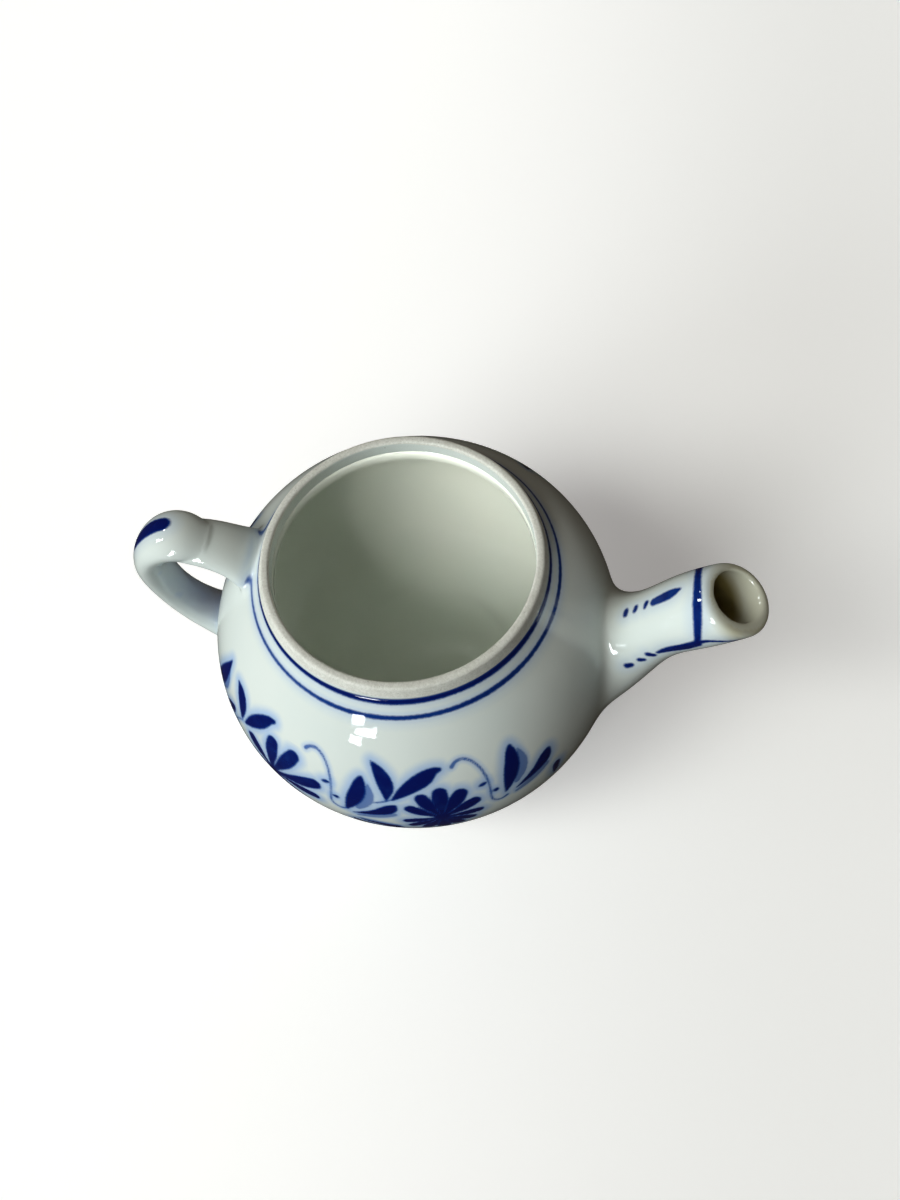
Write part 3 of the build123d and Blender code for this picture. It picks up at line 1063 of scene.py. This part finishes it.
def spout_field(x, y, z):
    """Distance from the surface of the spout with its bore, lip and flared root."""
    place, _, across = SPOUT_LINE.nearest(x, z, overrun=16.0)
    squash = 1 + (SPOUT_LIP_SQUASH - 1) * np.clip(place / SPOUT_LINE.length, 0, 1) ** 2
    outer = read_along(SPOUT_LINE, SPOUT_STATIONS, SPOUT_RADII, place)
    lower = read_along(SPOUT_LINE, SPOUT_STATIONS, SPOUT_LOW_RADII, place)
    tube = ellipse_distance(across, y, np.where(across > 0, outer, lower) * squash, outer)
    body = pot_distance(x, y, z)
    shape = soft_min(tube, body, SPOUT_BLEND)
    tilt = math.radians(SPOUT_LIP_TILT)
    lip = (x - SPOUT_POINTS[-1][0]) * math.cos(tilt) + (z - SPOUT_POINTS[-1][1]) * math.sin(tilt)
    shape = soft_max(shape, lip, SPOUT_LIP_ROUND)
    hole = read_along(SPOUT_LINE, BORE_STATIONS, BORE_RADII, place)
    drift = SPOUT_BORE_DRIFT * np.clip(place / SPOUT_LINE.length, 0, 1) ** 3
    bore = ellipse_distance(across, y - drift, hole * squash, hole)
    return soft_max(shape, -bore, SPOUT_BORE_ROUND)


def handle_field(x, y, z):
    """Distance from the surface of the handle with both its flared roots."""
    place, along, across = LOOP_LINE.nearest(x, z)
    wide = read_along(LOOP_LINE, LOOP_STATIONS, LOOP_WIDTHS, place)
    thick = read_along(LOOP_LINE, LOOP_STATIONS, LOOP_THICKS, place)
    loop = ellipse_distance(across, y, thick, wide, along, LOOP_END_ROUND)
    place, along, across = ARM_LINE.nearest(x, z)
    wide = read_along(ARM_LINE, ARM_STATIONS, ARM_WIDTHS, place)
    thick = read_along(ARM_LINE, ARM_STATIONS, ARM_THICKS, place)
    arm = ellipse_distance(across, y, thick, wide, along, ARM_END_ROUND)
    shape = soft_min(loop, arm, CREASE_BLEND)
    return soft_min(shape, pot_distance(x, y, z), HANDLE_BLEND)


def carry_over(paint, points):
    """Let the pot's own painting run on over the thin edge of a slip."""
    past_edge = pot_distance(*points.T) - SLIP_EDGE
    pot_paint = Paint(len(points), 0.3)
    paint_pot(pot_paint, points)
    paint.heavy(np.maximum(pot_paint.ink, past_edge), pot_paint.load)
    paint.pale(np.maximum(pot_paint.wash, past_edge), pot_paint.tone)


def make_spout(material):
    """The hollow spout and the slip at its root, cut from one smooth skin."""
    points, faces, normals = skin(spout_field, (44.0, -32.0, 8.0), (112.0, 32.0, 102.0))
    stands_out = pot_distance(*points.T) > 0.012
    shown = stands_out[faces].any(1)
    place, _, across = SPOUT_LINE.nearest(points[:, 0], points[:, 2], overrun=16.0)
    beyond = (place / SPOUT_LINE.length)[faces].mean(1) > SPOUT_SPLIT
    for name, node, keep in (
        ("spout_tube", "spout", shown & beyond),
        ("spout_root_slip", "spout_root", shown & ~beyond),
    ):
        wall, quads, facing = part_of_skin(points, faces, normals, keep)
        place, _, across = SPOUT_LINE.nearest(wall[:, 0], wall[:, 2], overrun=16.0)
        paint = paint_spout(wall, place, across)
        carry_over(paint, wall)
        piece = make_object(name, wall, quads, facing, paint.values())
        finish_piece(piece, node, material)


def make_handle(material):
    """The handle and the slip at its two roots, cut from one smooth skin."""
    points, faces, normals = skin(handle_field, (-92.0, -20.0, 8.0), (-38.0, 20.0, 101.0))
    depth = pot_distance(*points.T)
    shown = (depth > 0.012)[faces].any(1)
    near = depth[faces].mean(1) < HANDLE_ROOT_DEPTH
    high = points[:, 2][faces].mean(1) > HANDLE_SPLIT_Z
    for name, node, keep in (
        ("handle_loop", "handle", shown & ~near),
        ("handle_upper_slip", "handle_upper_root", shown & near & high),
        ("handle_lower_slip", "handle_lower_root", shown & near & ~high),
    ):
        wall, quads, facing = part_of_skin(points, faces, normals, keep)
        place, _, across = LOOP_LINE.nearest(wall[:, 0], wall[:, 2])
        paint = paint_handle(wall, place, across)
        carry_over(paint, wall)
        piece = make_object(name, wall, quads, facing, paint.values())
        finish_piece(piece, node, material)


# ======================================================================================
# Floor, light and camera
# ======================================================================================

# Soft lights of the studio: azimuth and height of the middle, how far it spreads
# (cosines where it starts and where it is full), colour and strength.
GLOWS = [
    (-148.0, 42.0, (0.95, 0.998), (0.97, 1.0, 0.95), 8.7),
    (-127.0, 13.0, (0.95, 0.998), (0.92, 1.0, 1.02), 7.5),
    (-162.0, 14.0, (0.95, 0.998), (1.0, 1.0, 1.0), 2.8),
    (-112.0, 42.0, (0.95, 0.998), (1.0, 0.98, 0.93), 4.0),
    (120.0, 40.0, (0.75, 0.99), (1.0, 0.80, 0.62), 0.20),
    (15.0, 4.0, (0.30, 0.95), (1.0, 0.95, 0.88), 0.14),
]
HORIZON = (-0.05, 0.10)
# what the glaze mirrors where no window stands
ROOM = (0.022, 0.017, 0.012, 1.0)
BACKDROP = (0.955, 0.957, 0.960, 1.0)


def towards(azimuth, height):
    """Unit direction with a given azimuth and height above the floor."""
    a, h = math.radians(azimuth), math.radians(height)
    return Vector((math.cos(a) * math.cos(h), math.sin(a) * math.cos(h), math.sin(h)))


# painted light: the paper glows brighter on the window side and less on the far side: between these places, by this
# much
FLOOR_PAINTED_LIGHT = (-0.10, 0.16, 0.43, 0.21)
# how far out, in metres, the paper begins to melt into the backdrop and where it is gone
FLOOR_MELT = (0.45, 1.6)


def make_floor():
    """A pale floor that the pot doesn't mirror, with painted light: it glows brighter on the window side."""
    half = 6.0
    corners = [(-half, -half, 0), (half, -half, 0), (half, half, 0), (-half, half, 0)]
    mesh = bpy.data.meshes.new("floor")
    mesh.from_pydata(corners, [], [(0, 1, 2, 3)])
    floor = bpy.data.objects.new("floor", mesh)
    bpy.context.scene.collection.objects.link(floor)
    n = Nodes("floor_paper")
    tint = n.mix(n.noise(3.0), (0.95, 0.95, 0.95, 1.0), (0.97, 0.97, 0.97, 1.0))
    axes = n.add("ShaderNodeSeparateXYZ")
    n.put(axes.inputs[0], n.place)
    # painted light and shade: the paper's glow is stronger on the window side and fades towards the far side
    glow = n.span(axes.outputs["X"], *FLOOR_PAINTED_LIGHT)
    reach = n.add("ShaderNodeVectorMath", operation="LENGTH")
    n.put(reach.inputs[0], n.place)
    melt = n.span(reach.outputs["Value"], *FLOOR_MELT)
    tint = n.mix(melt, tint, (0.0, 0.0, 0.0, 1.0))
    glow = n.math("ADD", n.math("MULTIPLY", n.math("SUBTRACT", 1.0, melt), glow), melt)
    floor.data.materials.append(
        n.surface(
            Base_Color=tint,
            Roughness=0.9,
            Specular_IOR_Level=0.0,
            Emission_Color=n.mix(melt, (1.0, 1.0, 1.0, 1.0), BACKDROP),
            Emission_Strength=glow,
        )
    )
    floor.visible_glossy = False
    floor.visible_diffuse = False


def make_world():
    """A soft studio round the pot: bright on one side, dim and warm on the other."""
    world = bpy.data.worlds.new("studio")
    bpy.context.scene.world = world
    world.use_nodes = True
    tree = world.node_tree
    tree.nodes.clear()

    def node(kind, inputs, **settings):
        made = tree.nodes.new(kind)
        for key, value in settings.items():
            setattr(made, key, value)
        for key, value in inputs.items():
            if isinstance(value, bpy.types.NodeSocket):
                tree.links.new(value, made.inputs[key])
            else:
                made.inputs[key].default_value = value
        return made

    def ramp(value, low, high):
        inputs = {"Value": value, "From Min": low, "From Max": high}
        return node("ShaderNodeMapRange", inputs, interpolation_type="SMOOTHSTEP").outputs[0]

    ray = node("ShaderNodeTexCoord", {}).outputs["Generated"]
    up = node("ShaderNodeVectorMath", {0: ray, 1: (0.0, 0.0, 1.0)}, operation="DOT_PRODUCT")
    above = ramp(up.outputs["Value"], *HORIZON)
    total = ROOM[:3]
    for azimuth, height, spread, colour, strength in GLOWS:
        inputs = {0: ray, 1: towards(azimuth, height)}
        facing = node("ShaderNodeVectorMath", inputs, operation="DOT_PRODUCT").outputs["Value"]
        share = ramp(facing, *spread)
        share = node("ShaderNodeMath", {0: share, 1: above}, operation="MULTIPLY").outputs[0]
        glow = [part * strength for part in colour]
        parts = [
            node("ShaderNodeMath", {0: share, 1: part}, operation="MULTIPLY").outputs[0]
            for part in glow
        ]
        tint = node("ShaderNodeCombineXYZ", dict(zip("XYZ", parts))).outputs[0]
        total = node("ShaderNodeVectorMath", {0: total, 1: tint}, operation="ADD").outputs[0]
    glow = node("ShaderNodeBackground", {"Color": total})
    room = node("ShaderNodeBackground", {"Color": ROOM})
    pale = node("ShaderNodeBackground", {"Color": BACKDROP})
    path = node("ShaderNodeLightPath", {}).outputs
    lit = node("ShaderNodeMixShader", {0: path["Is Glossy Ray"], 1: glow.outputs[0], 2: room.outputs[0]})
    seen = node("ShaderNodeMixShader", {0: path["Is Camera Ray"], 1: lit.outputs[0], 2: pale.outputs[0]})
    node("ShaderNodeOutputWorld", {"Surface": seen.outputs[0]})


def make_window(name, azimuth, low, high, width, brightness):
    """An upright window that the glaze mirrors, between two heights given as angles."""
    bottom = LIGHT_DISTANCE * math.tan(math.radians(low))
    top = LIGHT_DISTANCE * math.tan(math.radians(high))
    lamp = bpy.data.lights.new(name, "AREA")
    lamp.shape = "RECTANGLE"
    lamp.size = width
    lamp.size_y = top - bottom
    lamp.energy = brightness * math.pi * lamp.size * lamp.size_y
    lamp.color = WINDOW_COLOUR
    light = bpy.data.objects.new(name, lamp)
    bpy.context.scene.collection.objects.link(light)
    away = towards(azimuth, 0.0)
    light.location = away * LIGHT_DISTANCE + Vector((0.0, 0.0, LIGHT_LEVEL + (bottom + top) / 2))
    light.rotation_mode = "QUATERNION"
    light.rotation_quaternion = away.to_track_quat("Z", "Y")
    light.visible_diffuse = False


LIGHT_DISTANCE = 1.4
LIGHT_LEVEL = 0.07
WINDOW_COLOUR = (0.90, 0.96, 1.0)
# windows: name, azimuth, lower and upper edge as angles, width in metres, brightness
WINDOWS = [
    ("window_pane", -106.0, 13.0, 39.0, 0.26, 40.0),
    ("window_sill", -110.0, 6.0, 11.5, 0.14, 40.0),
    ("window_far", -97.0, 25.0, 28.0, 0.06, 40.0),
    ("window_left", -177.0, 28.0, 46.0, 0.16, 30.0),
    ("window_behind", 155.0, 38.0, 42.0, 0.10, 30.0),
    ("skylight", 114.0, 68.0, 70.0, 0.10, 6.0),
]
CAMERA_SPOT = (56.1, -146.1, 375.4)
CAMERA_YAW = 4.394
CAMERA_PITCH = 63.784
CAMERA_ROLL = 9.145
CAMERA_TURN = 21.0
CAMERA_LENS = 33.0


def make_beam():
    """A soft beam through the mouth that lights the far inside wall."""
    lamp = bpy.data.lights.new("beam", "SPOT")
    lamp.energy = BEAM_POWER
    lamp.color = BEAM_COLOUR
    lamp.spot_size = math.radians(BEAM_WIDTH)
    lamp.spot_blend = 1.0
    lamp.shadow_soft_size = BEAM_SOURCE
    beam = bpy.data.objects.new("beam", lamp)
    bpy.context.scene.collection.objects.link(beam)
    back = towards(*BEAM_FROM)
    beam.location = Vector(BEAM_TARGET) * MM + back * BEAM_DISTANCE
    beam.rotation_mode = "QUATERNION"
    beam.rotation_quaternion = back.to_track_quat("Z", "Y")
    beam.visible_glossy = False
    beam.visible_camera = False
    lit = bpy.data.collections.new("lit_by_beam")
    for name in BEAM_LIGHTS:
        lit.objects.link(bpy.data.objects[name])
    beam.light_linking.receiver_collection = lit


BEAM_FROM = (-101.0, 45.0)
BEAM_TARGET = (14.0, 53.0, 68.0)
BEAM_DISTANCE = 0.25
BEAM_WIDTH = 23.0
BEAM_SOURCE = 0.035
BEAM_COLOUR = (1.0, 0.98, 0.93)
BEAM_POWER = 3.3
BEAM_LIGHTS = ["pot_body_glazed"]


def make_camera():
    """The camera at the viewing angle of a hand held over the pot."""
    yaw, pitch, roll = (math.radians(a) for a in (CAMERA_YAW, CAMERA_PITCH, CAMERA_ROLL))
    ahead = Vector((math.sin(yaw) * math.cos(pitch), math.cos(yaw) * math.cos(pitch), -math.sin(pitch)))
    right = Vector((math.cos(yaw), -math.sin(yaw), 0.0))
    down = ahead.cross(right)
    tilted_right = right * math.cos(roll) + down * math.sin(roll)
    tilted_down = down * math.cos(roll) - right * math.sin(roll)
    turn = Matrix.Rotation(math.radians(CAMERA_TURN), 3, "Z")
    axes = Matrix((turn @ tilted_right, turn @ -tilted_down, turn @ -ahead)).transposed()
    lens = bpy.data.cameras.new("camera")
    lens.lens = CAMERA_LENS
    lens.sensor_width = 36.0
    lens.clip_start = 0.01
    lens.clip_end = 50.0
    camera = bpy.data.objects.new("camera", lens)
    bpy.context.scene.collection.objects.link(camera)
    camera.matrix_world = Matrix.Translation(Vector(CAMERA_SPOT) * MM) @ axes.to_4x4()
    bpy.context.scene.camera = camera


glaze = painted_glaze()
make_pot_body(glaze)
make_neck_collar(bare_porcelain("bare_rim", 1.0))
make_foot_ring(bare_porcelain("bare_foot", 1.0))
make_spout(glaze)
make_handle(glaze)
make_floor()
make_world()
for window in WINDOWS:
    make_window(*window)
make_beam()
make_camera()
bpy.context.scene.view_settings.view_transform = "Standard"
